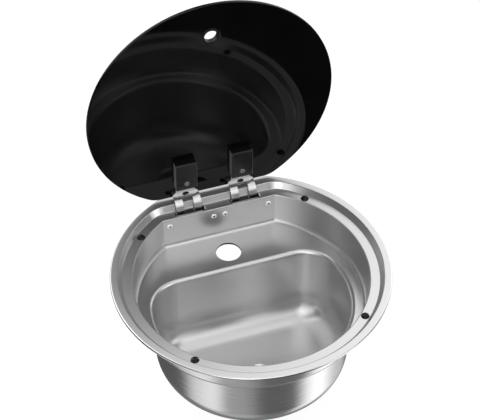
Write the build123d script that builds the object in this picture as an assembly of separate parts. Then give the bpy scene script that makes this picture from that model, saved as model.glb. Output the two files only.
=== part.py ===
"""Round drop-in sink for a caravan worktop, with a black glass lid on two gooseneck hinges.

Millimetres. The origin is the centre of the rim circle, on the worktop that the rim rests on.
+Z is up and +Y points from the basin to the hinges. The lid is drawn open, as the sink is used:
its pieces are laid out closed, where they line up with the rim, and turned about the pivot.
"""

import os
from math import asin, atan2, cos, degrees, radians, sin, sqrt

from build123d import *

# ---------------------------------------------------------------- driving dimensions
sheet = 0.8  # stainless sheet that the whole bowl is pressed from

# Rim: flange with a turned-down lip that stands on the worktop
rim_radius = 210.0
rim_height = 3.0
rim_edge_round = 2.0
flange_width = 11.6
flange_back_width = 37.0  # from the rim to the straight part of the flange's inner edge
flange_corner = 45.0
flange_round = 1.2

# Riser down to the ledge that carries the lid
ledge_drop = 9.5
riser_run = 6.0
riser_foot_round = 1.2

# Upper wall, with a flat back, down to the tap shelf
ledge_width = 15.1
ledge_back_width = 15.2
wall_draft = 2.5
wall_round = 1.4
shelf_drop = 64.0
shelf_round = 6.0

# Tub: D-shaped, its back edge in front of the tap shelf
shelf_width = 27.3
shelf_back_width = 80.4  # the tap shelf
tub_centre_y = -3.0
tub_corner = 52.0
tub_draft = 2.5
tub_lip_round = 6.8
floor_drop = 191.0
floor_round = 40.0

# Tap hole in the shelf, its edge turned down
tap_hole_radius = 19.8
tap_hole_from_wall = 44.2
tap_hole_collar = 3.2

# Seal under the flange
seal_clearance = 2.7  # from the lip
seal_width = 5.0

# Lid: glass lying flush with the flange when closed
glass_thickness = 5.0
lid_margin = 6.8  # from the flange's inner edge
lid_back_margin = 7.0
lid_centre_y = -1.0
lid_corner = 35.0
lid_edge_bevel = 0.7
lid_open_angle = 88.8
finger_hole_from_edge = 55.6
grommet_bore_radius = 10.2
grommet_body_radius = 12.4
grommet_flange_radius = 14.5
grommet_flange_thickness = 1.5

# Rubber buffers in the ledge
buffer_foot_gap = 0.8  # from the riser's foot
buffer_angles = (46.0, 135.5)  # from +Y, to both sides
buffer_radius = 6.4
buffer_stem_radius = 2.4
buffer_collar_radius = 4.2
buffer_collar_thickness = 1.6
lid_gap = 0.3  # left between the closed lid and each buffer

# Hinge pivot and gooseneck straps
pivot_behind = 7.0  # from the straight part of the flange's inner edge
pivot_drop = 10.0  # below the flange's top
arm_thickness = 2.0
gooseneck_radius = 18.5  # outer face of the strap, about the pivot
gooseneck_sweep = 125.0
strap_width = 12.2
strap_gap = 16.9
arm_bend_round = 3.0
eye_radius = 5.0
pin_radius = 2.5
running_clearance = 0.06
arm_flare_length = 5.6
arch_radius = 5.8
arch_depth = 6.2
arch_run_out = 4.0  # below the pivot, where the arch's sides reach the straps' inner edges
arm_length = 67.0  # from the straps to the plate's far end
inner_screw_gap = 7.5  # from the plate's far end to the hidden screw

# Slots in the ledge that the straps pass through
slot_front_gap = 5.4  # in front of the straps
slot_width = 9.2
slot_end_clearance = 4.0  # beyond the outer strap edges
slot_corner = 2.0
notch_side_clearance = 1.5
notch_back_gap = 2.6  # what stays of the riser behind each notch

# Hinge covers, pads and clamp plates on the glass
cover_width = 34.0
cover_depth = 13.0
cover_wall = 1.5
cover_bevel = 2.2
cover_edge_round = 1.4
cover_near_reach = 37.5  # from the pivot to the cover's near end
cover_end_gap = 3.2  # from the arm's far end to the inside of the cover
cover_fit = 0.4
pad_thickness = 0.5
clamp_plate_thickness = 2.5
clamp_plate_corner = 4.0
clamp_boss_radius = 4.2
glass_hole_clearance = 0.8
screw_radius = 2.5
screw_head_radius = 4.3
screw_head_height = 2.2
screw_head_proud = 0.4
screw_socket_radius = 1.7
screw_hole_clearance = 0.25
screw_head_clearance = 0.5
screw_boss_wall = 3.0
cover_screw_reach = 48.5  # from the pivot

# Brackets behind the flat wall, each a tray below its slot
bracket_thickness = 1.5
bracket_end = 6.2  # beyond the rivets
bracket_top_drop = 3.0  # below the ledge's top
bracket_swing_clearance = 2.0  # around the straps
bracket_height = 26.0
bracket_corner = 5.0
cheek_thickness = 1.5
cheek_eye_radius = 5.5
cheek_clearance = 2.5  # from the riser's back
rivet_inner_x = 9.2
rivet_corner_gap = 10.7  # from the wall's corner to the outer rivet
rivet_drop = 23.6
rivet_radius = 2.0
rivet_head_radius = 4.4
rivet_head_height = 1.4
rivet_bore_radius = 1.2
rivet_tail_radius = 3.0
rivet_tail_length = 3.5

# Pin stack
washer_gap = 0.2
washer_thickness = 1.2
washer_radius = 5.5
spring_height = 1.2
spring_sheet = 0.6
pin_head_radius = 4.0
pin_head_height = 1.5
pin_end = 2.2
clip_thickness = 0.7
clip_radius = 4.2
clip_groove_depth = 0.5
clip_opening = 70.0  # degrees
sleeve_radius = 4.0
sleeve_gap = 0.3

# Drain
drain_y = -45.0
drain_dish_radius = 24.0
drain_dish_depth = 2.0
drain_dish_slope = 3.5
drain_hole_radius = 15.5
gasket_thickness = 0.8
strainer_radius = 19.6
strainer_thickness = 1.2
strainer_skirt_radius = 14.6
strainer_skirt_length = 8.0
strainer_hole_radius = 2.1
strainer_hole_circle = 9.5
strainer_hole_count = 8
drain_screw_radius = 3.0
drain_screw_head_radius = 5.0
drain_screw_head_height = 2.0
drain_body_flange_radius = 22.0
drain_body_flange_thickness = 3.0
drain_body_wall = 2.0
drain_cup_radius = 17.5
drain_cup_depth = 16.0
drain_boss_radius = 5.0
drain_rib_width = 2.4
drain_rib_clearance = 1.0
drain_floor_thickness = 2.5
spigot_radius = 12.5
spigot_length = 32.0
spigot_barb = 0.8
spigot_barb_length = 5.0
spigot_barb_pitch = 7.0
spigot_barb_count = 3
spigot_tip_length = 3.0
spigot_collar_length = 8.0

# ---------------------------------------------------------------- derived places
flange_inner_radius = rim_radius - flange_width
flange_back_y = rim_radius - flange_back_width
wall_radius = flange_inner_radius - riser_run - ledge_width
wall_back_y = flange_back_y - riser_run - ledge_back_width
wall_half_width = sqrt(wall_radius**2 - wall_back_y**2)
tub_radius = wall_radius - shelf_width
tub_back_y = wall_back_y - shelf_back_width
tap_hole_y = wall_back_y - tap_hole_from_wall
seal_inner_radius = rim_radius - sheet - seal_clearance - seal_width
buffer_pitch_radius = flange_inner_radius - riser_run - buffer_foot_gap - buffer_radius
lid_radius = flange_inner_radius - lid_margin
lid_back_y = flange_back_y - lid_back_margin
finger_hole_y = lid_centre_y - lid_radius + finger_hole_from_edge
pivot_y = flange_back_y + pivot_behind
rivet_x = (rivet_inner_x, wall_half_width - rivet_corner_gap)
hinge_x = sum(rivet_x) / 2

flange_top = rim_height
ledge_top = flange_top - ledge_drop
shelf_top = flange_top - shelf_drop
floor_top = flange_top - floor_drop
pivot_z = flange_top - pivot_drop

lid_top = flange_top
glass_bottom = lid_top - glass_thickness
arm_top = glass_bottom - pad_thickness
arm_bottom = arm_top - arm_thickness
cover_face = glass_bottom - cover_depth

strap_inner_x = strap_gap / 2
strap_outer_x = strap_inner_x + strap_width
strap_centre_x = strap_inner_x + strap_width / 2
strap_front_y = pivot_y - gooseneck_radius
strap_back_y = strap_front_y + arm_thickness
slot_half_length = strap_outer_x + slot_end_clearance
slot_front_y = strap_front_y - slot_front_gap
slot_back_y = slot_front_y + slot_width
notch_back_y = flange_back_y - notch_back_gap
cheek_inner_x = strap_outer_x + washer_gap + washer_thickness + spring_height
cheek_outer_x = cheek_inner_x + cheek_thickness
screw_hole_radius = screw_radius + screw_hole_clearance
clamp_hole_radius = clamp_boss_radius + glass_hole_clearance
arm_far_y = strap_back_y - arm_length
arm_plate_half_width = cover_width / 2 - cover_wall - cover_fit
cover_near_y = pivot_y - cover_near_reach
cover_far_y = arm_far_y - cover_end_gap - cover_wall
cover_length = cover_near_y - cover_far_y
cover_screw_y = pivot_y - cover_screw_reach
inner_screw_y = arm_far_y + inner_screw_gap
bracket_inner_x = rivet_x[0] - bracket_end
bracket_outer_x = rivet_x[1] + bracket_end
bracket_tray_z = pivot_z - gooseneck_radius - bracket_swing_clearance

SIDES = {"left": -1, "right": 1}
UP = Vector(0, 0, 1)


# ---------------------------------------------------------------- shared shapes
def d_outline(radius, back_y, corner, centre_y=0.0):
    """A circle cut off by a straight back edge, its corners sharp or rounded."""
    centre = Vector(0, centre_y)
    if not corner:
        half = sqrt(radius**2 - (back_y - centre_y) ** 2)
        left, right = Vector(-half, back_y), Vector(half, back_y)
        return make_face([ThreePointArc(left, Vector(0, centre_y - radius), right), Line(right, left)])
    corner_y = back_y - corner
    corner_x = sqrt((radius - corner) ** 2 - (corner_y - centre_y) ** 2)
    corner_centre = Vector(corner_x, corner_y)
    outward = (corner_centre - centre).normalized()
    halfway = (outward + Vector(0, 1)).normalized()
    join = centre + outward * radius
    middle = corner_centre + halfway * corner
    end = Vector(corner_x, back_y)
    join_left, middle_left, end_left = (Vector(-p.X, p.Y) for p in (join, middle, end))
    edges = [
        ThreePointArc(join_left, Vector(0, centre_y - radius), join),
        ThreePointArc(join, middle, end),
        Line(end, end_left),
        ThreePointArc(end_left, middle_left, join_left),
    ]
    return make_face(edges)


def tube(outer_radius, inner_radius, height, base_z=0.0, x=0.0, y=0.0):
    """A ring standing on base_z."""
    ring = Circle(outer_radius) - Circle(inner_radius)
    return Pos(x, y, base_z) * extrude(ring, height)


def rod(radius, height, base_z=0.0, x=0.0, y=0.0):
    """An upright cylinder standing on base_z."""
    return Pos(x, y, base_z) * extrude(Circle(radius), height)


def across(face, start_x, width):
    """Extrudes a profile drawn in the Y-Z plane along +X, from start_x."""
    return extrude(Plane.YZ.offset(start_x) * face, width)


def ring_along_x(outer_radius, inner_radius, start_x, width):
    """A ring about the hinge pivot's axis, or a disc if it has no inner radius."""
    ring = Circle(outer_radius)
    if inner_radius:
        ring -= Circle(inner_radius)
    return across(Pos(pivot_y, pivot_z) * ring, start_x, width)


def sector(outer_radius, inner_radius, start, end):
    """Part of a ring between two angles in degrees, centred on the origin."""
    middle = (start + end) / 2

    def at(radius, angle):
        return Vector(radius * cos(radians(angle)), radius * sin(radians(angle)))

    edges = [
        ThreePointArc(at(outer_radius, start), at(outer_radius, middle), at(outer_radius, end)),
        Line(at(outer_radius, end), at(inner_radius, end)),
        ThreePointArc(at(inner_radius, end), at(inner_radius, middle), at(inner_radius, start)),
        Line(at(inner_radius, start), at(outer_radius, start)),
    ]
    return make_face(edges)


def open_lid(shape):
    """Turns a piece of the lid from closed to open about the pivot."""
    return shape.rotate(Axis((0, pivot_y, pivot_z), (1, 0, 0)), -lid_open_angle)


def wall_back_at(z, grow=0.0):
    """Where the flat back wall stands at a height, on the face that lies grow behind the seen one."""
    depth = shelf_drop - ledge_drop
    return wall_back_y + grow - wall_draft * (ledge_top - grow - z) / depth


# ---------------------------------------------------------------- bowl
def well(top, top_z, bottom, bottom_z, bottom_round):
    """One step of the pressing as a solid hollow, from its mouth to its rounded bottom."""
    faces = [Pos(0, 0, top_z) * d_outline(*top), Pos(0, 0, bottom_z) * d_outline(*bottom)]
    solid = loft(faces, ruled=True)
    return fillet(solid.edges().filter_by_position(Axis.Z, bottom_z, bottom_z), bottom_round)


def mouth_edges(solid, z, radius, back_y):
    """The edges at height z that lie on or inside a D outline."""
    found = []
    for edge in solid.edges().filter_by_position(Axis.Z, z, z):
        middle = edge @ 0.5
        inside_circle = Vector(middle.X, middle.Y).length < radius + 1
        if inside_circle and middle.Y < back_y + 1:
            found.append(edge)
    return found


def trough(grow, slab_radius, slab_height):
    """The space above the pressing's seen face, or above the face that lies grow behind it."""

    def outline(radius, back_y, corner, centre_y=0.0, draft=0.0):
        inset = grow - draft
        return radius + inset, back_y + inset, corner and corner + inset, centre_y

    flange_z = flange_top - grow
    ledge_z = ledge_top - grow
    shelf_z = shelf_top - grow
    floor_z = floor_top - grow
    flange_line = (flange_inner_radius, flange_back_y, flange_corner)
    wall_line = (wall_radius, wall_back_y, 0)
    tub_line = (tub_radius, tub_back_y, tub_corner, tub_centre_y)

    space = rod(slab_radius, slab_height, flange_z)
    space += well(
        outline(*flange_line), flange_z, outline(*flange_line, draft=riser_run), ledge_z, riser_foot_round + grow
    )
    space += well(outline(*wall_line), ledge_z, outline(*wall_line, draft=wall_draft), shelf_z, shelf_round + grow)
    space += well(outline(*tub_line), shelf_z, outline(*tub_line, draft=tub_draft), floor_z, floor_round + grow)
    mouths = (
        (flange_z, flange_line, flange_round),
        (ledge_z, wall_line, wall_round),
        (shelf_z, tub_line, tub_lip_round),
    )
    for z, line, seen_round in mouths:
        edges = mouth_edges(space, z, line[0] + grow, line[1] + grow)
        space = fillet(edges, seen_round - grow)
    dish_top = drain_dish_radius + grow
    dish = loft(
        [
            Pos(0, drain_y, floor_z) * Circle(dish_top),
            Pos(0, drain_y, floor_z - drain_dish_depth) * Circle(dish_top - drain_dish_slope),
        ]
    )
    return space + dish


def rim_lip():
    """The flange's outer edge, rolled over and turned down to the worktop."""
    turn_x = rim_radius - rim_edge_round
    turn_z = flange_top - rim_edge_round
    roll = Pos(turn_x, turn_z) * sector(rim_edge_round, rim_edge_round - sheet, 0, 90)
    drop = Pos(rim_radius - sheet / 2, turn_z / 2) * Rectangle(sheet, turn_z)
    return revolve(Plane.XZ * (roll + drop), Axis.Z)


def hinge_cuts(side):
    """The slot in the ledge for one hinge, and a notch in the riser behind each strap."""
    height = ledge_drop + sheet + 2
    centre_x = side * hinge_x
    slot_z = ledge_top - sheet - 1
    outline = RectangleRounded(2 * slot_half_length, slot_width, slot_corner)
    cuts = Pos(centre_x, (slot_front_y + slot_back_y) / 2, slot_z) * extrude(outline, sheet + 3)
    notch_front = (slot_front_y + slot_back_y) / 2
    notch = RectangleRounded(strap_width + 2 * notch_side_clearance, notch_back_y - notch_front, slot_corner)
    for strap_side in (-1, 1):
        notch_x = centre_x + strap_side * strap_centre_x
        cuts += Pos(notch_x, (notch_back_y + notch_front) / 2, slot_z) * extrude(notch, height)
    return cuts


def ring_places():
    """Where the buffers stand on the ledge."""
    places = []
    for angle in buffer_angles:
        for side in SIDES.values():
            x = side * buffer_pitch_radius * sin(radians(angle))
            places.append((x, buffer_pitch_radius * cos(radians(angle))))
    return places


def rivet_planes():
    """The plane of each rivet head on the wall's seen face, facing the basin."""
    z = flange_top - rivet_drop
    slope = wall_draft / (shelf_drop - ledge_drop)
    planes = []
    for side in SIDES.values():
        for x in rivet_x:
            origin = (side * x, wall_back_at(z), z)
            planes.append(Plane(origin=origin, x_dir=(1, 0, 0), z_dir=(0, -1, slope)))
    return planes


def sink_bowl():
    flat_radius = rim_radius - rim_edge_round
    pressing = trough(sheet, flat_radius, sheet) - trough(0, rim_radius + 5, 5)
    bowl = pressing + rim_lip()
    through = 4 * sheet
    collar_low = shelf_top - tap_hole_collar
    bowl += rod(tap_hole_radius + sheet, tap_hole_collar - sheet / 2, collar_low, y=tap_hole_y)
    bowl -= rod(tap_hole_radius, tap_hole_collar + 2, collar_low - 1, y=tap_hole_y)
    dish_bottom = floor_top - drain_dish_depth
    bowl -= rod(drain_hole_radius, through, dish_bottom - 2 * sheet, y=drain_y)
    for side in SIDES.values():
        bowl -= hinge_cuts(side)
    for x, y in ring_places():
        bowl -= rod(buffer_stem_radius, through, ledge_top - 2 * sheet, x, y)
    for plane in rivet_planes():
        bowl -= plane * Pos(0, 0, -through / 2) * Cylinder(rivet_radius, through)
    return bowl


def rim_seal():
    return tube(seal_inner_radius + seal_width, seal_inner_radius, flange_top - sheet)


def lid_buffers():
    """Dome heads on the ledge, each with a stem through its hole and a collar below."""
    dome_height = glass_bottom - ledge_top - lid_gap
    sphere_radius = (buffer_radius**2 + dome_height**2) / (2 * dome_height)
    dome_half = degrees(asin(buffer_radius / sphere_radius)) if dome_height < buffer_radius else 90.0
    middle = radians(90 - dome_half / 2)
    centre_z = dome_height - sphere_radius
    dome_middle = (sphere_radius * cos(middle), centre_z + sphere_radius * sin(middle))
    collar_top = -sheet
    collar_bottom = collar_top - buffer_collar_thickness
    profile = make_face(
        [
            ThreePointArc((0, dome_height), dome_middle, (buffer_radius, 0)),
            Polyline(
                (buffer_radius, 0),
                (buffer_stem_radius, 0),
                (buffer_stem_radius, collar_top),
                (buffer_collar_radius, collar_top),
                (buffer_stem_radius, collar_bottom),
                (0, collar_bottom),
                (0, dome_height),
            ),
        ]
    )
    one = revolve(Plane.XZ * profile, Axis.Z)
    return [Pos(x, y, ledge_top) * one for x, y in ring_places()]


# ---------------------------------------------------------------- fixed half of the hinges
def hinge_bracket(side):
    """A riveted plate with a tray below the slot, whose cheeks reach under the flange to hold the pin."""
    top_z = ledge_top - bracket_top_drop
    low_z = top_z - bracket_height
    width = bracket_outer_x - bracket_inner_x
    start_x = bracket_inner_x if side > 0 else -bracket_outer_x
    strip = [
        (wall_back_at(top_z, sheet), top_z),
        (wall_back_at(top_z, sheet) + bracket_thickness, top_z),
        (wall_back_at(low_z, sheet) + bracket_thickness, low_z),
        (wall_back_at(low_z, sheet), low_z),
    ]
    plate = across(make_face(Polyline(*strip, close=True)), start_x, width)
    plate = fillet(plate.edges().filter_by(Axis.Y), bracket_corner)

    riser_back = flange_back_y + sheet + cheek_clearance
    under_flange = flange_top - sheet - cheek_clearance
    pivot_top = min(pivot_z + cheek_eye_radius, under_flange)
    tray_low = bracket_tray_z - bracket_thickness
    tray_back = pivot_y + cheek_eye_radius
    tray_front = wall_back_at(bracket_tray_z, sheet) + bracket_thickness / 2
    web = [
        (wall_back_at(top_z, sheet) + bracket_thickness / 2, top_z),
        (riser_back, top_z),
        (pivot_y, pivot_top),
        (tray_back, pivot_z),
        (tray_back, tray_low),
        (tray_front, tray_low),
    ]
    outline = make_face(Polyline(*web, close=True)) + Pos(pivot_y, pivot_z) * Circle(cheek_eye_radius)
    outline -= Pos(pivot_y, pivot_z) * Circle(pin_radius)
    tray = Pos((tray_front + tray_back) / 2, tray_low + bracket_thickness / 2) * Rectangle(
        tray_back - tray_front, bracket_thickness
    )
    bracket = plate + across(tray, side * hinge_x - cheek_outer_x, 2 * cheek_outer_x)
    for start in (-cheek_outer_x, cheek_inner_x):
        bracket += across(outline, side * hinge_x + start, cheek_thickness)
    for plane in rivet_planes():
        bracket -= plane * Pos(0, 0, -2 * bracket_thickness) * Cylinder(rivet_radius, 4 * bracket_thickness)
    return bracket


def wall_rivets():
    """Blind rivets: a hollow dome head in the basin and a set tail behind the bracket."""
    z = flange_top - rivet_drop
    wall_slope = atan2(wall_draft, shelf_drop - ledge_drop)
    grip = (wall_back_at(z, sheet) + bracket_thickness - wall_back_at(z)) * cos(wall_slope)
    tail_end = -grip - rivet_tail_length
    profile = make_face(
        [
            Polyline(
                (rivet_bore_radius, rivet_head_height),
                (rivet_bore_radius, -grip),
                (0, -grip),
                (0, tail_end),
                (rivet_radius, tail_end),
                (rivet_tail_radius, -grip),
                (rivet_radius, -grip),
                (rivet_radius, 0),
                (rivet_head_radius, 0),
            ),
            ThreePointArc(
                (rivet_head_radius, 0),
                ((rivet_head_radius + rivet_bore_radius) * 0.6, rivet_head_height * 0.72),
                (rivet_bore_radius, rivet_head_height),
            ),
        ]
    )
    one = revolve(Plane.XZ * profile, Axis.Z)
    return [plane * one for plane in rivet_planes()]


def hinge_pin(side):
    """A headed pin through both cheeks and both eyes, grooved for its clip."""
    centre_x = side * hinge_x
    end_x = cheek_outer_x + pin_end
    pin = ring_along_x(pin_radius, 0, centre_x - cheek_outer_x, cheek_outer_x + end_x)
    pin += ring_along_x(pin_head_radius, 0, centre_x - cheek_outer_x - pin_head_height, pin_head_height)
    groove_inner = pin_radius - clip_groove_depth
    pin -= ring_along_x(pin_radius + 1, groove_inner, centre_x + cheek_outer_x, clip_thickness)
    return pin


def pin_clips():
    """Open retaining rings in the pins' grooves."""
    ring = sector(clip_radius, pin_radius - clip_groove_depth, -90 + clip_opening / 2, 270 - clip_opening / 2)
    face = Pos(pivot_y, pivot_z) * ring
    return [across(face, side * hinge_x + cheek_outer_x, clip_thickness) for side in SIDES.values()]


def spacer_sleeves():
    """Tubes on the pins that keep the two eyes of an arm apart."""
    half = strap_inner_x - sleeve_gap
    bore = pin_radius + running_clearance
    return [ring_along_x(sleeve_radius, bore, side * hinge_x - half, 2 * half) for side in SIDES.values()]


def friction_washers():
    """Plastic washers between each outer eye face and its disc spring."""
    bore = pin_radius + running_clearance
    washers = []
    for side in SIDES.values():
        near = strap_outer_x + washer_gap
        for start in (near, -near - washer_thickness):
            washers.append(ring_along_x(washer_radius, bore, side * hinge_x + start, washer_thickness))
    return washers


def disc_springs():
    """Dished steel washers that press the friction washers on the eyes."""
    bore = pin_radius + running_clearance
    rise = spring_height - spring_sheet
    profile = Polyline(
        (bore, rise),
        (washer_radius, 0),
        (washer_radius, spring_sheet),
        (bore, spring_height),
        close=True,
    )
    one = revolve(Plane.XZ * make_face(profile), Axis.Z)
    springs = []
    for side in SIDES.values():
        for direction in (-1, 1):
            start = strap_outer_x + washer_gap + washer_thickness
            place = Plane(
                origin=(side * hinge_x + direction * start, pivot_y, pivot_z),
                x_dir=(0, 1, 0),
                z_dir=(direction, 0, 0),
            )
            springs.append(place * one)
    return springs


# ---------------------------------------------------------------- lid, laid out closed
def clamp_places(side):
    """The two screws of one hinge: one through the cover, one hidden under it."""
    return [(side * hinge_x, cover_screw_y), (side * hinge_x, inner_screw_y)]


def glass_lid():
    outline = d_outline(lid_radius, lid_back_y, lid_corner, lid_centre_y)
    glass = Pos(0, 0, glass_bottom) * extrude(outline, glass_thickness, dir=UP)
    rims = glass.edges().filter_by_position(Axis.Z, glass_bottom, glass_bottom)
    rims += glass.edges().filter_by_position(Axis.Z, lid_top, lid_top)
    glass = chamfer(rims, lid_edge_bevel)
    through = glass_thickness + 2
    glass -= rod(grommet_body_radius, through, glass_bottom - 1, y=finger_hole_y)
    for side in SIDES.values():
        for x, y in clamp_places(side):
            glass -= rod(clamp_hole_radius, through, glass_bottom - 1, x, y)
    return glass


def finger_grommet():
    """A rubber bush that lines the finger hole, with a flange on each face of the glass."""
    flange = grommet_flange_thickness
    height = glass_thickness + 2 * flange
    low = glass_bottom - flange
    grommet = tube(grommet_body_radius, grommet_bore_radius, height, low)
    for base in (low, lid_top):
        grommet += tube(grommet_flange_radius, grommet_bore_radius, flange, base)
    outer = grommet.edges().filter_by(GeomType.CIRCLE).group_by(Axis.Z)
    ends = [edge for edge in outer[0] + outer[-1] if edge.radius > grommet_body_radius]
    grommet = fillet(ends, flange * 0.7)
    return Pos(0, finger_hole_y, 0) * grommet


def arm_plate_outline():
    """The flat plate of an arm seen from above, flared to the straps."""
    flare_end = strap_back_y - arm_bend_round
    flare_start = flare_end - arm_flare_length
    half = [
        (arm_plate_half_width, arm_far_y),
        (arm_plate_half_width, flare_start),
        (strap_outer_x, flare_end),
    ]
    other = [(-x, y) for x, y in reversed(half)]
    return make_face(Polyline(*half, *other, close=True))


def arch_cutter():
    """What is cut out between the straps: an arch in the plate that widens round the bend."""
    arch_y = strap_back_y - arch_depth + arch_radius
    cutter = rod(arch_radius, arm_top - arm_bottom + 2, arm_bottom - 1, y=arch_y)
    low_z = pivot_z - gooseneck_radius
    run_out_z = pivot_z - arch_run_out
    flare = [
        (arch_radius, arm_top + 1),
        (arch_radius, arm_bottom),
        (strap_inner_x, run_out_z),
        (strap_inner_x, low_z),
    ]
    other = [(-x, z) for x, z in reversed(flare)]
    wedge = extrude(Plane.XZ.offset(-arch_y) * make_face(Polyline(*flare, *other, close=True)), -2 * arch_depth)
    return cutter + wedge


def bend_profile():
    """The bend from the plate to the straps, seen from the side."""
    start_y = strap_back_y - arm_bend_round
    bend_low = arm_top - arm_bend_round
    halfway = arm_bend_round * sin(radians(45))
    return make_face(
        [
            ThreePointArc((start_y, arm_top), (start_y + halfway, bend_low + halfway), (strap_back_y, bend_low)),
            Polyline(
                (strap_back_y, bend_low),
                (strap_back_y, pivot_z),
                (strap_front_y, pivot_z),
                (strap_front_y, arm_bottom),
                (start_y, arm_bottom),
                (start_y, arm_top),
            ),
        ]
    )


def strap_profile():
    """One strap seen from the side: bent down from the plate, round the pivot and in to its eye."""
    end = 180 + gooseneck_sweep
    neck = sector(gooseneck_radius, gooseneck_radius - arm_thickness, 180, end)
    leg_length = gooseneck_radius - arm_thickness / 2
    leg = Rot(0, 0, end) * Pos(leg_length / 2, -arm_thickness / 2) * Rectangle(leg_length, arm_thickness)
    eye = Circle(eye_radius)
    bore = Circle(pin_radius + running_clearance)
    return bend_profile() + Pos(pivot_y, pivot_z) * (neck + leg + eye - bore)


def web_profile():
    """The start of the straps, seen from the side, where the arch still joins them."""
    end = 180 + degrees(asin(arch_run_out / gooseneck_radius))
    neck = sector(gooseneck_radius, gooseneck_radius - arm_thickness, 180, end)
    return bend_profile() + Pos(pivot_y, pivot_z) * neck


def hinge_arm(side):
    centre_x = side * hinge_x
    plate = Pos(centre_x, 0, arm_bottom) * extrude(arm_plate_outline(), arm_thickness, dir=UP)
    for x, y in clamp_places(side):
        plate -= rod(screw_hole_radius, arm_thickness + 2, arm_bottom - 1, x, y)
    arm = plate + across(web_profile(), centre_x - strap_inner_x, strap_gap)
    arm -= Pos(centre_x, 0, 0) * arch_cutter()
    for start in (-strap_outer_x, strap_inner_x):
        arm += across(strap_profile(), centre_x + start, strap_width)
    return arm


def hinge_cover(side):
    """A shell over the arm's plate, open towards the glass and at the near end for the arm."""
    centre_y = (cover_near_y + cover_far_y) / 2
    shell = Pos(0, centre_y, cover_face + cover_depth / 2) * Box(cover_width, cover_length, cover_depth)
    shell = chamfer(shell.edges().group_by(Axis.Z)[0].sort_by(Axis.Y)[0], cover_bevel)
    sharp = []
    for edge in shell.faces().filter_by(Axis.X).edges():
        middle = edge @ 0.5
        if middle.Z < glass_bottom - cover_edge_round / 2 and middle.Y < cover_near_y - cover_edge_round:
            sharp.append(edge)
    shell = fillet(sharp, cover_edge_round)
    hollow_width = cover_width - 2 * cover_wall
    hollow_depth = cover_depth - cover_wall
    hollow = Box(hollow_width, cover_length - 2 * cover_wall, hollow_depth)
    shell -= Pos(0, centre_y, glass_bottom - hollow_depth / 2) * hollow
    gate_height = glass_bottom - arm_bottom + cover_fit
    gate = Box(2 * (arm_plate_half_width + cover_fit), 2 * cover_wall + 2, gate_height)
    shell -= Pos(0, cover_near_y, glass_bottom - gate_height / 2) * gate
    boss_height = arm_bottom - cover_face
    shell += rod(screw_hole_radius + screw_boss_wall, boss_height, cover_face, 0, cover_screw_y)
    shell -= rod(screw_hole_radius, boss_height + 2, cover_face - 1, 0, cover_screw_y)
    sink_radius = screw_head_radius + screw_head_clearance
    sink_depth = screw_head_height - screw_head_proud
    shell -= rod(sink_radius, sink_depth + 1, cover_face - 1, 0, cover_screw_y)
    return Pos(side * hinge_x, 0, 0) * shell


def arm_pad(side):
    """The thin rubber pad between an arm's plate and the glass."""
    near = cover_near_y + cover_fit
    outline = Pos(side * hinge_x, (arm_far_y + near) / 2) * Rectangle(2 * arm_plate_half_width, near - arm_far_y)
    pad = Pos(0, 0, arm_top) * extrude(outline, pad_thickness, dir=UP)
    for x, y in clamp_places(side):
        pad -= rod(clamp_hole_radius, pad_thickness + 2, arm_top - 1, x, y)
    return pad


def clamp_outline(side):
    centre_y = (cover_near_y + cover_far_y) / 2
    return Pos(side * hinge_x, centre_y) * RectangleRounded(cover_width, cover_length, clamp_plate_corner)


def clamp_pad(side):
    """The thin rubber pad under the plate on the glass's outer face."""
    pad = Pos(0, 0, lid_top) * extrude(clamp_outline(side), pad_thickness, dir=UP)
    for x, y in clamp_places(side):
        pad -= rod(clamp_hole_radius, pad_thickness + 2, lid_top - 1, x, y)
    return pad


def clamp_plate(side):
    """The plate on the glass's outer face, with a threaded boss in each hole of the glass."""
    base = lid_top + pad_thickness
    plate = Pos(0, 0, base) * extrude(clamp_outline(side), clamp_plate_thickness, dir=UP)
    plate = fillet(plate.edges().group_by(Axis.Z)[-1], clamp_plate_thickness * 0.4)
    boss_bottom = arm_top
    for x, y in clamp_places(side):
        plate += rod(clamp_boss_radius, base - boss_bottom, boss_bottom, x, y)
        plate -= rod(screw_radius, base - boss_bottom + clamp_plate_thickness / 2, boss_bottom, x, y)
    return plate


def socket_screw(x, y, head_z):
    """A flat-topped screw that points up from its head at head_z, with a hexagon socket below."""
    end_z = lid_top + pad_thickness
    screw = rod(screw_head_radius, screw_head_height, head_z, x, y)
    screw = fillet(screw.edges().group_by(Axis.Z)[0], screw_head_height * 0.3)
    screw += rod(screw_radius, end_z - head_z, head_z, x, y)
    socket = Pos(x, y, head_z) * extrude(RegularPolygon(screw_socket_radius, 6), screw_head_height * 0.6, dir=UP)
    return screw - socket


def cover_screws():
    head_z = cover_face - screw_head_proud
    return [socket_screw(*clamp_places(side)[0], head_z) for side in SIDES.values()]


def inner_clamp_screws():
    head_z = arm_bottom - screw_head_height
    return [socket_screw(*clamp_places(side)[1], head_z) for side in SIDES.values()]


# ---------------------------------------------------------------- drain
def drain_levels():
    """Top of the dish's floor and its underside."""
    dish_floor = floor_top - drain_dish_depth
    return dish_floor, dish_floor - sheet


def drain_gaskets():
    dish_floor, underside = drain_levels()
    upper = tube(strainer_radius - 0.4, drain_hole_radius, gasket_thickness, dish_floor, y=drain_y)
    lower = tube(drain_body_flange_radius, drain_cup_radius, gasket_thickness, underside - gasket_thickness, y=drain_y)
    return upper, lower


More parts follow.
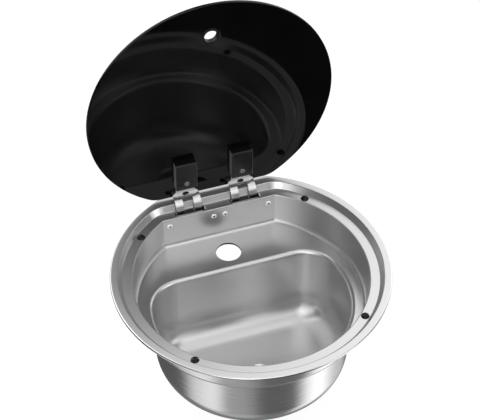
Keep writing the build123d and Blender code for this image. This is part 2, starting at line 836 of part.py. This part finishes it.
def drain_strainer():
    """A dished flange with a ring of holes and a skirt that centres it in the bowl's hole."""
    base = drain_levels()[0] + gasket_thickness
    flange = rod(strainer_radius, strainer_thickness, base, y=drain_y)
    flange = fillet(flange.edges().group_by(Axis.Z)[-1], strainer_thickness * 0.6)
    skirt = tube(
        strainer_skirt_radius,
        strainer_skirt_radius - strainer_thickness,
        strainer_skirt_length,
        base - strainer_skirt_length,
        y=drain_y,
    )
    strainer = flange + skirt
    for index in range(strainer_hole_count):
        angle = radians(360 * index / strainer_hole_count)
        x = strainer_hole_circle * cos(angle)
        y = drain_y + strainer_hole_circle * sin(angle)
        strainer -= rod(strainer_hole_radius, 4 * strainer_thickness, base - strainer_thickness, x, y)
    return strainer - rod(drain_screw_radius, 4 * strainer_thickness, base - strainer_thickness, y=drain_y)


def drain_body():
    """The cup under the floor, with ribs that carry the screw's boss and a barbed hose spigot."""
    top = drain_levels()[1] - gasket_thickness
    cup_bottom = top - drain_cup_depth
    spigot_bottom = cup_bottom - spigot_length
    flange_low = top - drain_body_flange_thickness
    body = tube(drain_body_flange_radius, drain_cup_radius, drain_body_flange_thickness, flange_low, y=drain_y)
    outer = drain_cup_radius + drain_body_wall
    body += tube(outer, drain_cup_radius, drain_cup_depth, cup_bottom, y=drain_y)
    bore = spigot_radius - drain_body_wall
    body += tube(outer, bore, drain_floor_thickness, cup_bottom, y=drain_y)
    valley = spigot_radius - spigot_barb
    profile = [(bore, 0), (valley, 0)]
    for index in range(spigot_barb_count):
        start = spigot_tip_length + index * spigot_barb_pitch
        end = start + spigot_barb_length
        profile += [(valley, start), (spigot_radius, end), (valley, end)]
    collar = spigot_length - spigot_collar_length
    profile += [(valley, collar), (spigot_radius, collar), (spigot_radius, spigot_length), (bore, spigot_length)]
    spigot = revolve(Plane.XZ * make_face(Polyline(*profile, close=True)), Axis.Z)
    body += Pos(0, drain_y, spigot_bottom) * spigot
    boss_top = drain_levels()[0] + gasket_thickness - strainer_skirt_length - drain_rib_clearance
    rib_height = boss_top - cup_bottom - drain_floor_thickness
    rib_base = cup_bottom + drain_floor_thickness
    for angle in (0, 60, 120):
        rib = Rot(0, 0, angle) * Box(2 * drain_cup_radius + drain_body_wall, drain_rib_width, rib_height)
        body += Pos(0, drain_y, rib_base + rib_height / 2) * rib
    body += rod(drain_boss_radius, rib_height, rib_base, y=drain_y)
    body -= rod(drain_screw_radius, rib_height, rib_base + drain_rib_width, y=drain_y)
    return body


def drain_screw():
    """The screw that pulls the strainer and the body together through the bowl's floor."""
    head_base = drain_levels()[0] + gasket_thickness + strainer_thickness
    top = drain_levels()[1] - gasket_thickness
    tip = top - drain_cup_depth + drain_floor_thickness + drain_rib_width
    screw = rod(drain_screw_radius, head_base - tip, tip, y=drain_y)
    head = rod(drain_screw_head_radius, drain_screw_head_height, head_base, y=drain_y)
    head = fillet(head.edges().group_by(Axis.Z)[-1], drain_screw_head_height * 0.5)
    slot = Box(2 * drain_screw_head_radius, drain_screw_head_height * 0.5, drain_screw_head_height)
    head -= Pos(0, drain_y, head_base + drain_screw_head_height) * slot
    return screw + head


# ---------------------------------------------------------------- write the parts
def write(node, shapes):
    """Writes one node; a group of like pieces is one file of separate solids."""
    pieces = shapes if isinstance(shapes, list) else [shapes]
    solids = [solid for piece in pieces for solid in piece.solids()]
    label = Compound(children=solids) if len(solids) > 1 else solids[0]
    label.label = node
    export_step(label, f"parts/{node}.step")


def main():
    os.makedirs("parts", exist_ok=True)
    gasket_upper, gasket_lower = drain_gaskets()
    write("sink_bowl", sink_bowl())
    write("rim_seal", rim_seal())
    write("lid_buffers", lid_buffers())
    write("wall_rivets", wall_rivets())
    write("pin_clips", pin_clips())
    write("spacer_sleeves", spacer_sleeves())
    write("friction_washers", friction_washers())
    write("disc_springs", disc_springs())
    write("drain_strainer", drain_strainer())
    write("drain_gasket_upper", gasket_upper)
    write("drain_gasket_lower", gasket_lower)
    write("drain_body", drain_body())
    write("drain_screw", drain_screw())
    write("glass_lid", open_lid(glass_lid()))
    write("finger_grommet", open_lid(finger_grommet()))
    write("cover_screws", [open_lid(screw) for screw in cover_screws()])
    write("inner_clamp_screws", [open_lid(screw) for screw in inner_clamp_screws()])
    for name, side in SIDES.items():
        write(f"hinge_bracket_{name}", hinge_bracket(side))
        write(f"hinge_pin_{name}", hinge_pin(side))
        write(f"hinge_arm_{name}", open_lid(hinge_arm(side)))
        write(f"hinge_cover_{name}", open_lid(hinge_cover(side)))
        write(f"arm_pad_{name}", open_lid(arm_pad(side)))
        write(f"clamp_pad_{name}", open_lid(clamp_pad(side)))
        write(f"clamp_plate_{name}", open_lid(clamp_plate(side)))


main()
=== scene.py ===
"""Finishes and studio stage for a round drop-in sink with a hinged glass lid.

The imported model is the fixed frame: its solids keep their places and shapes, and each gets a
finish here. The lid side rides on the body "lid", all the rest on the body "sink".
"""

import math

import bpy
from bpy.props import FloatProperty, FloatVectorProperty, PointerProperty
from mathutils import Euler, Matrix, Vector


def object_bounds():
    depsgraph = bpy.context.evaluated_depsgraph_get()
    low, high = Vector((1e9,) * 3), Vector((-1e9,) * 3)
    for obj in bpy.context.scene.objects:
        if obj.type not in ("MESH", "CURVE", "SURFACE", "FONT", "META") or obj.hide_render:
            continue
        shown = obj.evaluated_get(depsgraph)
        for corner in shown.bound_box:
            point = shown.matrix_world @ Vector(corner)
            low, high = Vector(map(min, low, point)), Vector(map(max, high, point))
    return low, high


bl_info = {
    "name": "Sink with a Hinged Glass Lid",
    "version": (1, 0, 0),
    "blender": (4, 5, 0),
    "location": "View3D > Sidebar > Sink",
    "description": "Finishes the sink, its drain and its glass lid, and sets up the studio stage",
    "category": "Object",
}

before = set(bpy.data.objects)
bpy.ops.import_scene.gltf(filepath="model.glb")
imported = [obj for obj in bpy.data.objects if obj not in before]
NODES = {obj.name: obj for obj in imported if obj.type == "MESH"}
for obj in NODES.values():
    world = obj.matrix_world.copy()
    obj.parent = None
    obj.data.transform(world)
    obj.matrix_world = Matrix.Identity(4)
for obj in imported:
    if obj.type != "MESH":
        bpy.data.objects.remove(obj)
CAD_BOX = [list(corner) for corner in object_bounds()]

MM = 0.001
LOWEST = CAD_BOX[0][2]

# Places on the bowl that its finishes need.
TUB_TOP = -61 * MM
TUB_MOUTH = 4 * MM  # height over which the finish changes to the tub's
TAP_HOLE_Y = 107.6 * MM
TAP_HOLE_RADIUS = 19.8 * MM
RIVETS = ((9.2, -20.6), (80.9, -20.6))  # across and up, on both sides, in millimetres

# Tones of the small parts.
BUFFER_TONE = (0.006, 0.006, 0.0065)
GROMMET_TONE = (0.004, 0.004, 0.0045)
BRACKET_TONE = (0.008, 0.008, 0.0085)
PIN_TONE = (0.62, 0.62, 0.62)
CLIP_TONE = (0.4, 0.4, 0.42)
SPRING_TONE = (0.45, 0.44, 0.43)
RIVET_TONE = (0.9, 0.9, 0.9)
SLEEVE_TONE = (0.2, 0.2, 0.2)
WASHER_TONE = (0.1, 0.1, 0.1)
STRAINER_TONE = (0.72, 0.72, 0.73)
DRAIN_SCREW_TONE = (0.6, 0.6, 0.6)
COVER_SCREW_TONE = (0.3, 0.3, 0.3)
CLAMP_SCREW_TONE = (0.5, 0.5, 0.5)


# ---------------------------------------------------------------- settings


def colour(name, description, default):
    return FloatVectorProperty(
        name=name,
        description=description,
        subtype="COLOR",
        size=3,
        min=0.0,
        max=1.0,
        default=default,
    )


def share(name, description, default):
    return FloatProperty(
        name=name, description=description, subtype="FACTOR", min=0.0, max=1.0, default=default
    )


def amount(name, description, default):
    return FloatProperty(name=name, description=description, min=0.0, default=default)


def angle(name, description, degrees):
    return FloatProperty(
        name=name, description=description, subtype="ANGLE", default=math.radians(degrees)
    )


def length(name, description, default):
    return FloatProperty(name=name, description=description, unit="LENGTH", min=0.0, default=default)


class SINK_PG_steel(bpy.types.PropertyGroup):
    """Bare steel of the bowl and of the hinges."""

    bowl_tone: colour("Bowl tone", "Colour of the bowl's stainless sheet", (0.62, 0.62, 0.62))
    bowl_roughness: share("Bowl roughness", "How far the satin finish blurs reflections", 0.29)
    brush_spacing: length("Brush line spacing", "Distance between the brush lines", 1.1 * MM)
    brush_depth: length("Brush line depth", "Depth of the brush lines", 0.0012 * MM)
    tub_roughness: share("Tub roughness", "How far the tub's inside blurs reflections", 0.31)
    bloom: share("Bloom", "How milky the satin finish is inside the bowl", 0.13)
    outer_roughness: share("Outer roughness", "How far the outside blurs reflections", 0.22)
    hinge_tone: colour("Hinge tone", "Colour of the hinge arms", (0.72, 0.72, 0.72))
    hinge_roughness: share("Hinge roughness", "How far the hinge steel blurs reflections", 0.3)


class SINK_PG_dark(bpy.types.PropertyGroup):
    """Glass, rubber and moulded parts."""

    glass_tone: colour("Glass tone", "Colour of the printed glass", (0.0012, 0.0012, 0.0014))
    glass_roughness: share("Glass roughness", "How far the glass blurs reflections", 0.03)
    rubber_tone: colour("Rubber tone", "Colour of seals, pads and gaskets", (0.018, 0.018, 0.019))
    cover_tone: colour("Cover tone", "Colour of the hinge covers", (0.003, 0.003, 0.0035))
    drain_tone: colour("Drain tone", "Colour of the moulded drain", (0.035, 0.036, 0.038))


class SINK_PG_stage(bpy.types.PropertyGroup):
    """Floor, lights and camera."""

    floor_tone: colour("Floor tone", "Colour of the floor", (0.98, 0.98, 0.98))
    floor_glow: amount("Floor glow", "Brightness of the lit floor", 0.9)
    light: amount("Light", "Brightness of the room", 1.0)
    azimuth: angle("Camera azimuth", "Direction the camera looks in, from the sink's back", -18.601)
    elevation: angle("Camera elevation", "Height of the camera above the horizon", 43.897)
    roll: angle("Camera roll", "Tilt of the picture", 0.247)
    distance: length("Camera distance", "From the camera to the point it looks at", 2.3643)
    lens: FloatProperty(name="Lens", description="Focal length", min=10.0, default=119.19)


class SINK_PG_look(bpy.types.PropertyGroup):
    """All settings of the sink's look."""

    steel: PointerProperty(type=SINK_PG_steel)
    dark: PointerProperty(type=SINK_PG_dark)
    stage: PointerProperty(type=SINK_PG_stage)


# ---------------------------------------------------------------- node trees


class Nodes:
    """Short ways to add nodes to a tree."""

    def __init__(self, tree):
        self.tree = tree
        tree.nodes.clear()

    def feed(self, socket, value):
        """A number stays on the socket, another node's output is linked to it."""
        if isinstance(value, bpy.types.NodeSocket):
            self.tree.links.new(value, socket)
        else:
            socket.default_value = value

    def node(self, kind, sockets=None, **settings):
        made = self.tree.nodes.new(kind)
        for name, value in settings.items():
            setattr(made, name, value)
        for name, value in (sockets or {}).items():
            self.feed(made.inputs[name], value)
        return made

    def place(self):
        """Position on the piece, in metres."""
        return self.node("ShaderNodeTexCoord").outputs["Object"]

    def facing(self):
        """The surface's own direction."""
        return self.node("ShaderNodeNewGeometry").outputs["Normal"]

    def split(self, vector):
        return self.node("ShaderNodeSeparateXYZ", {"Vector": vector}).outputs

    def join(self, x, y, z):
        return self.node("ShaderNodeCombineXYZ", {"X": x, "Y": y, "Z": z}).outputs["Vector"]

    def math(self, operation, a, b=0.0):
        return self.node("ShaderNodeMath", {0: a, 1: b}, operation=operation).outputs[0]

    def plus(self, a, b):
        return self.math("ADD", a, b)

    def minus(self, a, b):
        return self.math("SUBTRACT", a, b)

    def times(self, a, b):
        return self.math("MULTIPLY", a, b)

    def span(self, a, b):
        """How far the point (a, b) is from the origin."""
        return self.math("SQRT", self.plus(self.times(a, a), self.times(b, b)))

    def stretch(self, vector, by):
        return self.node("ShaderNodeVectorMath", {0: vector, 1: by}, operation="MULTIPLY").outputs[0]

    def noise(self, vector, scale=1.0, detail=2.0, distortion=0.0):
        made = self.node(
            "ShaderNodeTexNoise",
            {"Vector": vector, "Scale": scale, "Detail": detail, "Distortion": distortion},
        )
        return made.outputs["Fac"]

    def cells(self, vector, scale):
        return self.node("ShaderNodeTexVoronoi", {"Vector": vector, "Scale": scale}).outputs["Distance"]

    def remap(self, value, low, high, to_low, to_high, smooth=False):
        made = self.node(
            "ShaderNodeMapRange",
            {"Value": value, "From Min": low, "From Max": high, "To Min": to_low, "To Max": to_high},
            interpolation_type="SMOOTHSTEP" if smooth else "LINEAR",
        )
        return made.outputs["Result"]

    def vary(self, noise, low, high):
        """The middle of a noise spread over a range."""
        return self.remap(noise, 0.3, 0.7, low, high)

    def blend(self, factor, a, b):
        """Numbers a and b mixed."""
        made = self.node("ShaderNodeMix", {"Factor": factor, "A": a, "B": b}, data_type="FLOAT")
        return made.outputs["Result"]

    def tint(self, factor, a, b):
        """Colours a and b mixed."""
        return self.node("ShaderNodeMix", {0: factor, 6: a, 7: b}, data_type="RGBA").outputs[2]

    def relief(self, height, depth):
        """Bump of the given depth in metres."""
        made = self.node("ShaderNodeBump", {"Height": height, "Strength": 1.0, "Distance": depth})
        return made.outputs["Normal"]


class Finish(Nodes):
    """One finish, with a Principled shader at the end of its nodes."""

    def __init__(self, name, **shader):
        self.material = bpy.data.materials.new(name)
        self.material.use_nodes = True
        super().__init__(self.material.node_tree)
        numbers = {socket.replace("_", " "): value for socket, value in shader.items()}
        self.shader = self.node("ShaderNodeBsdfPrincipled", numbers)
        self.node("ShaderNodeOutputMaterial", {"Surface": self.shader.outputs["BSDF"]})

    def set(self, name, value):
        """One socket of the shader."""
        self.feed(self.shader.inputs[name], value)


def rgba(tone, factor=1.0):
    return (tone[0] * factor, tone[1] * factor, tone[2] * factor, 1.0)


def wear(*nodes, finish):
    """Puts a finish on CAD nodes."""
    for name in nodes:
        piece = NODES[name]
        for slot in piece.material_slots:
            slot.material = finish
        if not piece.material_slots:
            piece.data.materials.append(finish)


# ---------------------------------------------------------------- finishes


def bowl_steel(steel):
    """Satin stainless sheet: smooth inside, with fine lines round the outside of the tub, and painted shade
    on the upright wall of the tap hole.
    """
    finish = Finish("bowl_satin_steel")
    tone = steel.bowl_tone
    place = finish.place()
    x, y, height = finish.split(place)
    turn, reach = finish.math("ARCTAN2", y, x), finish.span(x, y)
    side, back, up = finish.split(finish.facing())
    level = finish.math("ABSOLUTE", up)

    outward = finish.plus(finish.times(x, side), finish.times(y, back))
    outside = finish.remap(finish.math("DIVIDE", outward, reach), 0.25, 0.6, 0.0, 1.0, smooth=True)
    in_tub = finish.remap(height, TUB_TOP - TUB_MOUTH, TUB_TOP, 1.0, 0.0, smooth=True)

    lines = 1.0 / steel.brush_spacing
    along = finish.times(turn, 4.0)
    wall = finish.noise(finish.join(along, 0.0, finish.times(height, lines)))
    flat = finish.noise(finish.join(along, finish.times(reach, lines), 0.0))
    brush = finish.blend(finish.remap(level, 0.35, 0.75, 0.0, 1.0, smooth=True), wall, flat)
    cloud = finish.noise(place, scale=14.0)

    inner_roughness = finish.blend(in_tub, steel.bowl_roughness, steel.tub_roughness)
    roughness = finish.blend(outside, inner_roughness, steel.outer_roughness)
    roughness = finish.plus(finish.vary(cloud, -0.008, 0.008), roughness)
    streaks = finish.times(finish.vary(brush, -0.04, 0.04), outside)
    finish.set("Roughness", finish.plus(roughness, streaks))
    finish.set("Metallic", finish.blend(outside, 1.0 - steel.bloom, 1.0))

    shade = finish.blend(outside, finish.vary(cloud, 0.45, 0.55), finish.vary(brush, 0.0, 1.0))
    sheet = finish.tint(shade, rgba(tone, 0.9), rgba(tone, 1.1))
    # Painted shade: the upright wall of the tap hole is darkened to 0.12 of the bowl's tone.
    from_hole = finish.span(x, finish.minus(y, TAP_HOLE_Y))
    at_hole = finish.remap(from_hole, TAP_HOLE_RADIUS + 0.2 * MM, TAP_HOLE_RADIUS + MM, 1.0, 0.0)
    hole_wall_shade = finish.times(at_hole, finish.remap(level, 0.3, 0.6, 1.0, 0.0))
    finish.set("Base Color", finish.tint(hole_wall_shade, sheet, rgba(tone, 0.12)))
    finish.set("Normal", finish.relief(finish.times(brush, outside), steel.brush_depth))
    return finish.material


def hinge_steel(name, tone, roughness):
    """Satin steel with fine straight lines."""
    finish = Finish(name, Metallic=1.0)
    place = finish.place()
    brush = finish.noise(finish.stretch(place, (2500.0, 2500.0, 60.0)))
    cloud = finish.noise(place, scale=60.0)
    streaks = finish.vary(brush, roughness - 0.02, roughness + 0.02)
    finish.set("Roughness", finish.plus(streaks, finish.vary(cloud, -0.01, 0.01)))
    finish.set("Base Color", finish.tint(finish.vary(brush, 0.0, 1.0), rgba(tone, 0.97), rgba(tone, 1.03)))
    finish.set("Normal", finish.relief(brush, 0.0002 * MM))
    return finish.material


def bright_steel(name, tone, roughness):
    """Smooth plated metal with faint spots."""
    finish = Finish(name, Metallic=1.0)
    place = finish.place()
    cloud = finish.noise(place, scale=300.0, detail=3.0)
    spots = finish.remap(finish.cells(place, 1400.0), 0.0, 0.3, 0.05, 0.0)
    finish.set("Roughness", finish.plus(finish.vary(cloud, roughness - 0.03, roughness + 0.04), spots))
    finish.set("Base Color", finish.tint(finish.vary(cloud, 0.0, 1.0), rgba(tone, 0.94), rgba(tone, 1.02)))
    finish.set("Normal", finish.relief(cloud, 0.0006 * MM))
    return finish.material


def rivet_steel(tone):
    """Bright blind rivets, with painted shade in the central hole and round the edge of each head."""
    finish = Finish("rivet_bright_steel", Metallic=0.2)
    place = finish.place()
    x, _, z = finish.split(place)
    nearest = 1.0
    for across, up in RIVETS:
        from_side = finish.minus(finish.math("ABSOLUTE", x), across * MM)
        from_middle = finish.span(from_side, finish.minus(z, up * MM))
        nearest = finish.math("MINIMUM", nearest, from_middle)
    # Painted shade: the rivet colour darkens in each central hole and round the edge of each head.
    bore_shade = finish.remap(nearest, 1.5 * MM, 2.1 * MM, 1.0, 0.0, smooth=True)
    foot_shade = finish.remap(nearest, 4.5 * MM, 4.8 * MM, 0.0, 0.8, smooth=True)
    cloud = finish.noise(place, scale=500.0)
    finish.set("Roughness", finish.vary(cloud, 0.3, 0.38))
    finish.set("Base Color", finish.tint(finish.math("MAXIMUM", bore_shade, foot_shade), rgba(tone), rgba(tone, 0.1)))
    finish.set("Normal", finish.relief(cloud, 0.0006 * MM))
    return finish.material


def printed_glass(tone, roughness):
    """Dark printed glass with faint smears."""
    finish = Finish("lid_printed_glass", IOR=1.5, Specular_IOR_Level=0.2)
    smear = finish.noise(finish.place(), scale=18.0, detail=4.0, distortion=0.6)
    finish.set("Roughness", finish.remap(smear, 0.35, 0.75, roughness, roughness + 0.02))
    finish.set("Base Color", finish.tint(finish.vary(smear, 0.0, 1.0), rgba(tone, 0.8), rgba(tone, 1.3)))
    return finish.material


def rubber(name, tone, roughness, grain=0.02 * MM):
    """Black rubber with a fine moulded grain."""
    finish = Finish(name, Specular_IOR_Level=0.2)
    place = finish.place()
    pebble = finish.noise(place, scale=1800.0)
    bloom = finish.noise(place, scale=120.0, detail=3.0)
    dull = finish.vary(bloom, roughness - 0.06, roughness + 0.08)
    finish.set("Roughness", finish.plus(dull, finish.vary(pebble, -0.03, 0.03)))
    pale = finish.remap(bloom, 0.35, 0.7, 0.0, 1.0)
    finish.set("Base Color", finish.tint(pale, rgba(tone, 0.85), rgba(tone, 1.35)))
    finish.set("Normal", finish.relief(pebble, grain))
    return finish.material


def moulded(name, tone, roughness, grain, gloss=0.5, sheen=0.0):
    """Injection-moulded plastic or a smooth coat."""
    finish = Finish(
        name, IOR=1.5, Specular_IOR_Level=gloss, Sheen_Weight=sheen, Sheen_Roughness=0.25
    )
    place = finish.place()
    ripple = finish.noise(place, scale=1100.0, detail=1.0)
    bloom = finish.noise(place, scale=160.0, detail=3.0)
    finish.set("Roughness", finish.vary(bloom, roughness - 0.03, roughness + 0.04))
    finish.set("Base Color", finish.tint(finish.vary(bloom, 0.0, 1.0), rgba(tone, 0.9), rgba(tone, 1.2)))
    finish.set("Normal", finish.relief(ripple, grain))
    return finish.material


# ---------------------------------------------------------------- operators


class SINK_OT_bowl(bpy.types.Operator):
    """Gives the pressed bowl its satin steel"""

    bl_idname = "sink.bowl"
    bl_label = "Bowl"

    def execute(self, context):
        wear("sink_bowl", finish=bowl_steel(context.scene.sink_look.steel))
        return {"FINISHED"}


class SINK_OT_rubber_parts(bpy.types.Operator):
    """Finishes the rim seal, the lid buffers, the pads and the finger grommet"""

    bl_idname = "sink.rubber_parts"
    bl_label = "Rubber parts"

    def execute(self, context):
        tone = context.scene.sink_look.dark.rubber_tone
        wear("rim_seal", finish=rubber("rim_seal_rubber", tone, roughness=0.55))
        wear(
            "lid_buffers",
            finish=rubber("buffer_rubber_dome", BUFFER_TONE, roughness=0.2, grain=0.002 * MM),
        )
        wear(
            "arm_pad_left",
            "arm_pad_right",
            "clamp_pad_left",
            "clamp_pad_right",
            finish=rubber("pad_rubber_sheet", tone, roughness=0.6),
        )
        wear(
            "finger_grommet",
            finish=rubber("grommet_rubber_ring", GROMMET_TONE, roughness=0.3, grain=0.002 * MM),
        )
        return {"FINISHED"}


class SINK_OT_hinges(bpy.types.Operator):
    """Finishes the hinge arms, brackets, pins, clips, sleeves, washers, springs and rivets"""

    bl_idname = "sink.hinges"
    bl_label = "Hinges"

    def execute(self, context):
        steel = context.scene.sink_look.steel
        wear(
            "hinge_arm_left",
            "hinge_arm_right",
            finish=hinge_steel("arm_satin_steel", steel.hinge_tone, steel.hinge_roughness),
        )
        wear(
            "hinge_bracket_left",
            "hinge_bracket_right",
            finish=moulded("bracket_black_coat", BRACKET_TONE, roughness=0.4, grain=0.004 * MM, gloss=0.25),
        )
        wear(
            "hinge_pin_left",
            "hinge_pin_right",
            finish=bright_steel("pin_ground_steel", PIN_TONE, roughness=0.16),
        )
        wear("pin_clips", finish=bright_steel("clip_spring_steel", CLIP_TONE, roughness=0.3))
        wear("disc_springs", finish=bright_steel("disc_spring_steel", SPRING_TONE, roughness=0.28))
        wear("wall_rivets", finish=rivet_steel(RIVET_TONE))
        wear(
            "spacer_sleeves",
            finish=moulded("sleeve_grey_nylon", SLEEVE_TONE, roughness=0.3, grain=0.002 * MM),
        )
        wear(
            "friction_washers",
            finish=moulded("washer_nylon", WASHER_TONE, roughness=0.5, grain=0.004 * MM),
        )
        return {"FINISHED"}


class SINK_OT_drain(bpy.types.Operator):
    """Finishes the drain's strainer, gaskets, screw and body"""

    bl_idname = "sink.drain"
    bl_label = "Drain"

    def execute(self, context):
        dark = context.scene.sink_look.dark
        wear("drain_strainer", finish=bright_steel("strainer_chrome_plate", STRAINER_TONE, roughness=0.1))
        wear("drain_screw", finish=bright_steel("drain_screw_steel", DRAIN_SCREW_TONE, roughness=0.22))
        wear(
            "drain_gasket_upper",
            "drain_gasket_lower",
            finish=rubber("gasket_rubber_ring", dark.rubber_tone, roughness=0.55),
        )
        wear(
            "drain_body",
            finish=moulded("drain_moulded_plastic", dark.drain_tone, roughness=0.42, grain=0.01 * MM),
        )
        return {"FINISHED"}


class SINK_OT_lid(bpy.types.Operator):
    """Finishes the glass lid"""

    bl_idname = "sink.lid"
    bl_label = "Glass lid"

    def execute(self, context):
        dark = context.scene.sink_look.dark
        wear("glass_lid", finish=printed_glass(dark.glass_tone, dark.glass_roughness))
        return {"FINISHED"}


class SINK_OT_covers(bpy.types.Operator):
    """Finishes the hinge covers, the clamp plates and their screws"""

    bl_idname = "sink.covers"
    bl_label = "Hinge covers and clamps"

    def execute(self, context):
        look = context.scene.sink_look
        cover = moulded(
            "cover_gloss_plastic",
            look.dark.cover_tone,
            roughness=0.12,
            grain=0.0003 * MM,
            gloss=0.4,
            sheen=0.8,
        )
        wear("hinge_cover_left", "hinge_cover_right", finish=cover)
        wear(
            "clamp_plate_left",
            "clamp_plate_right",
            finish=hinge_steel("plate_satin_metal", look.steel.hinge_tone, roughness=0.32),
        )
        wear("cover_screws", finish=bright_steel("cover_screw_black", COVER_SCREW_TONE, roughness=0.25))
        wear(
            "inner_clamp_screws",
            finish=bright_steel("clamp_screw_steel", CLAMP_SCREW_TONE, roughness=0.22),
        )
        return {"FINISHED"}


class SINK_OT_stage(bpy.types.Operator):
    """Sets up the floor, the lights and the camera"""

    bl_idname = "sink.stage"
    bl_label = "Stage"

    def execute(self, context):
        stage = context.scene.sink_look.stage
        scene = context.scene
        scene.view_settings.view_transform = "Standard"
        pale_floor(scene, stage)
        room_light(scene, stage)
        camera(scene, stage)
        return {"FINISHED"}


# ---------------------------------------------------------------- stage


FLOOR_HALF = 12.0  # half the floor's side, in metres
FLOOR_SHADES = (0.12, 0.14)  # what the floor reflects, beside its own glow, as shares of its tone
BACKGROUND = 1.15  # the background's glow over the floor's, which the room lights as well


def pale_floor(scene, stage):
    half = FLOOR_HALF
    mesh = bpy.data.meshes.new("floor")
    corners = [(-half, -half, 0), (half, -half, 0), (half, half, 0), (-half, half, 0)]
    mesh.from_pydata(corners, [], [(0, 1, 2, 3)])
    floor = bpy.data.objects.new("floor", mesh)
    floor.location.z = LOWEST
    scene.collection.objects.link(floor)
    floor.visible_glossy = False
    floor.visible_shadow = False
    finish = Finish("floor_pale", Roughness=0.9)
    cloud = finish.noise(finish.place(), scale=1.5)
    darker, lighter = (rgba(stage.floor_tone, shade) for shade in FLOOR_SHADES)
    finish.set("Base Color", finish.tint(cloud, darker, lighter))
    finish.set("Emission Color", rgba(stage.floor_tone))
    finish.set("Emission Strength", stage.floor_glow)
    mesh.materials.append(finish.material)


# Soft round lights of the studio: turn from +X and height in degrees, size of the bright middle
# and of the whole light in degrees, and strength. They began as a fit to the photograph's
# reflections, and were then rounded and partly changed.
LIGHTS = (
    (0, -90, 20, 50, 0.2),
    (225, -60, 8, 24, 0.35),
    (335, -60, 5, 15, 0.8),
    (192, -42, 8, 24, 1.0),
    (336, -42, 8, 24, 0.9),
    (10, -44, 8, 24, 0.6),
    (330, -26, 8, 24, 1.4),
    (24, -10, 14, 38, 1.1),
    (240, 8, 8, 24, 2.6),
    (48, 24, 14, 38, 1.0),
    (120, 24, 14, 38, 1.8),
    (312, 24, 8, 24, 2.4),
    (24, 42, 14, 38, 1.1),
    (144, 42, 8, 24, 1.3),
    (240, 42, 14, 38, 1.2),
    (288, 42, 8, 24, 0.5),
    (90, 62, 8, 24, 1.0),
    (135, 62, 8, 24, 1.6),
    (270, 62, 8, 24, 0.9),
    (0, 80, 8, 24, 1.0),
)
HAZE = 0.05  # light from everywhere


def towards(turn, height):
    """The direction of a light."""
    turn, height = math.radians(turn), math.radians(height)
    return (math.cos(height) * math.cos(turn), math.cos(height) * math.sin(turn), math.sin(height))


def room_light(scene, stage):
    """Soft lights all round, which a camera sees as a plain pale background."""
    world = bpy.data.worlds.new("studio")
    scene.world = world
    world.use_nodes = True
    room = Nodes(world.node_tree)
    way = room.node("ShaderNodeTexCoord").outputs["Generated"]
    glow = HAZE
    for turn, height, middle, whole, strength in LIGHTS:
        light = {0: way, 1: towards(turn, height)}
        near = room.node("ShaderNodeVectorMath", light, operation="DOT_PRODUCT").outputs["Value"]
        edge, full = math.cos(math.radians(whole)), math.cos(math.radians(middle))
        glow = room.plus(glow, room.remap(near, edge, full, 0.0, strength, smooth=True))
    glow = room.times(glow, stage.light)
    lit = room.node("ShaderNodeBackground", {"Color": room.join(glow, glow, glow)})
    plain = {"Color": rgba(stage.floor_tone), "Strength": BACKGROUND * stage.floor_glow}
    seen = room.node("ShaderNodeBackground", plain)
    by_camera = room.node("ShaderNodeLightPath").outputs["Is Camera Ray"]
    mixed = room.node("ShaderNodeMixShader", {0: by_camera, 1: lit.outputs[0], 2: seen.outputs[0]})
    room.node("ShaderNodeOutputWorld", {"Surface": mixed.outputs[0]})


AIM = Vector((5.0, 65.52, 66.2)) * MM  # what the camera looks at


def camera(scene, stage):
    data = bpy.data.cameras.new("photo_camera")
    data.lens = stage.lens
    data.sensor_width = 36.0
    data.clip_start, data.clip_end = 0.05, 60.0
    eye = bpy.data.objects.new("photo_camera", data)
    scene.collection.objects.link(eye)
    turn = Euler((math.pi / 2 - stage.elevation, 0.0, stage.azimuth)).to_matrix()
    look = turn @ Vector((0.0, 0.0, -1.0))
    roll = Matrix.Rotation(stage.roll, 3, look)
    eye.rotation_euler = (roll @ turn).to_euler()
    eye.location = AIM - look * stage.distance
    scene.camera = eye


# ---------------------------------------------------------------- panel and running


STEPS = (
    SINK_OT_bowl,
    SINK_OT_rubber_parts,
    SINK_OT_hinges,
    SINK_OT_drain,
    SINK_OT_lid,
    SINK_OT_covers,
    SINK_OT_stage,
)


class SINK_PT_panel(bpy.types.Panel):
    """Settings and steps of the sink's look"""

    bl_idname = "SINK_PT_panel"
    bl_label = "Sink with a glass lid"
    bl_space_type = "VIEW_3D"
    bl_region_type = "UI"
    bl_category = "Sink"

    def draw(self, context):
        look = context.scene.sink_look
        for group in (look.steel, look.dark, look.stage):
            box = self.layout.box()
            for name in group.bl_rna.properties.keys():
                if name not in ("rna_type", "name"):
                    box.prop(group, name)
        for step in STEPS:
            self.layout.operator(step.bl_idname)


CLASSES = (SINK_PG_steel, SINK_PG_dark, SINK_PG_stage, SINK_PG_look, *STEPS, SINK_PT_panel)


def register():
    for item in CLASSES:
        bpy.utils.register_class(item)
    bpy.types.Scene.sink_look = PointerProperty(type=SINK_PG_look)


def unregister():
    del bpy.types.Scene.sink_look
    for item in reversed(CLASSES):
        bpy.utils.unregister_class(item)


def main():
    register()
    for step in STEPS:
        group, name = step.bl_idname.split(".")
        getattr(getattr(bpy.ops, group), name)()
    bpy.context.view_layer.update()


if __name__ == "__main__":
    main()
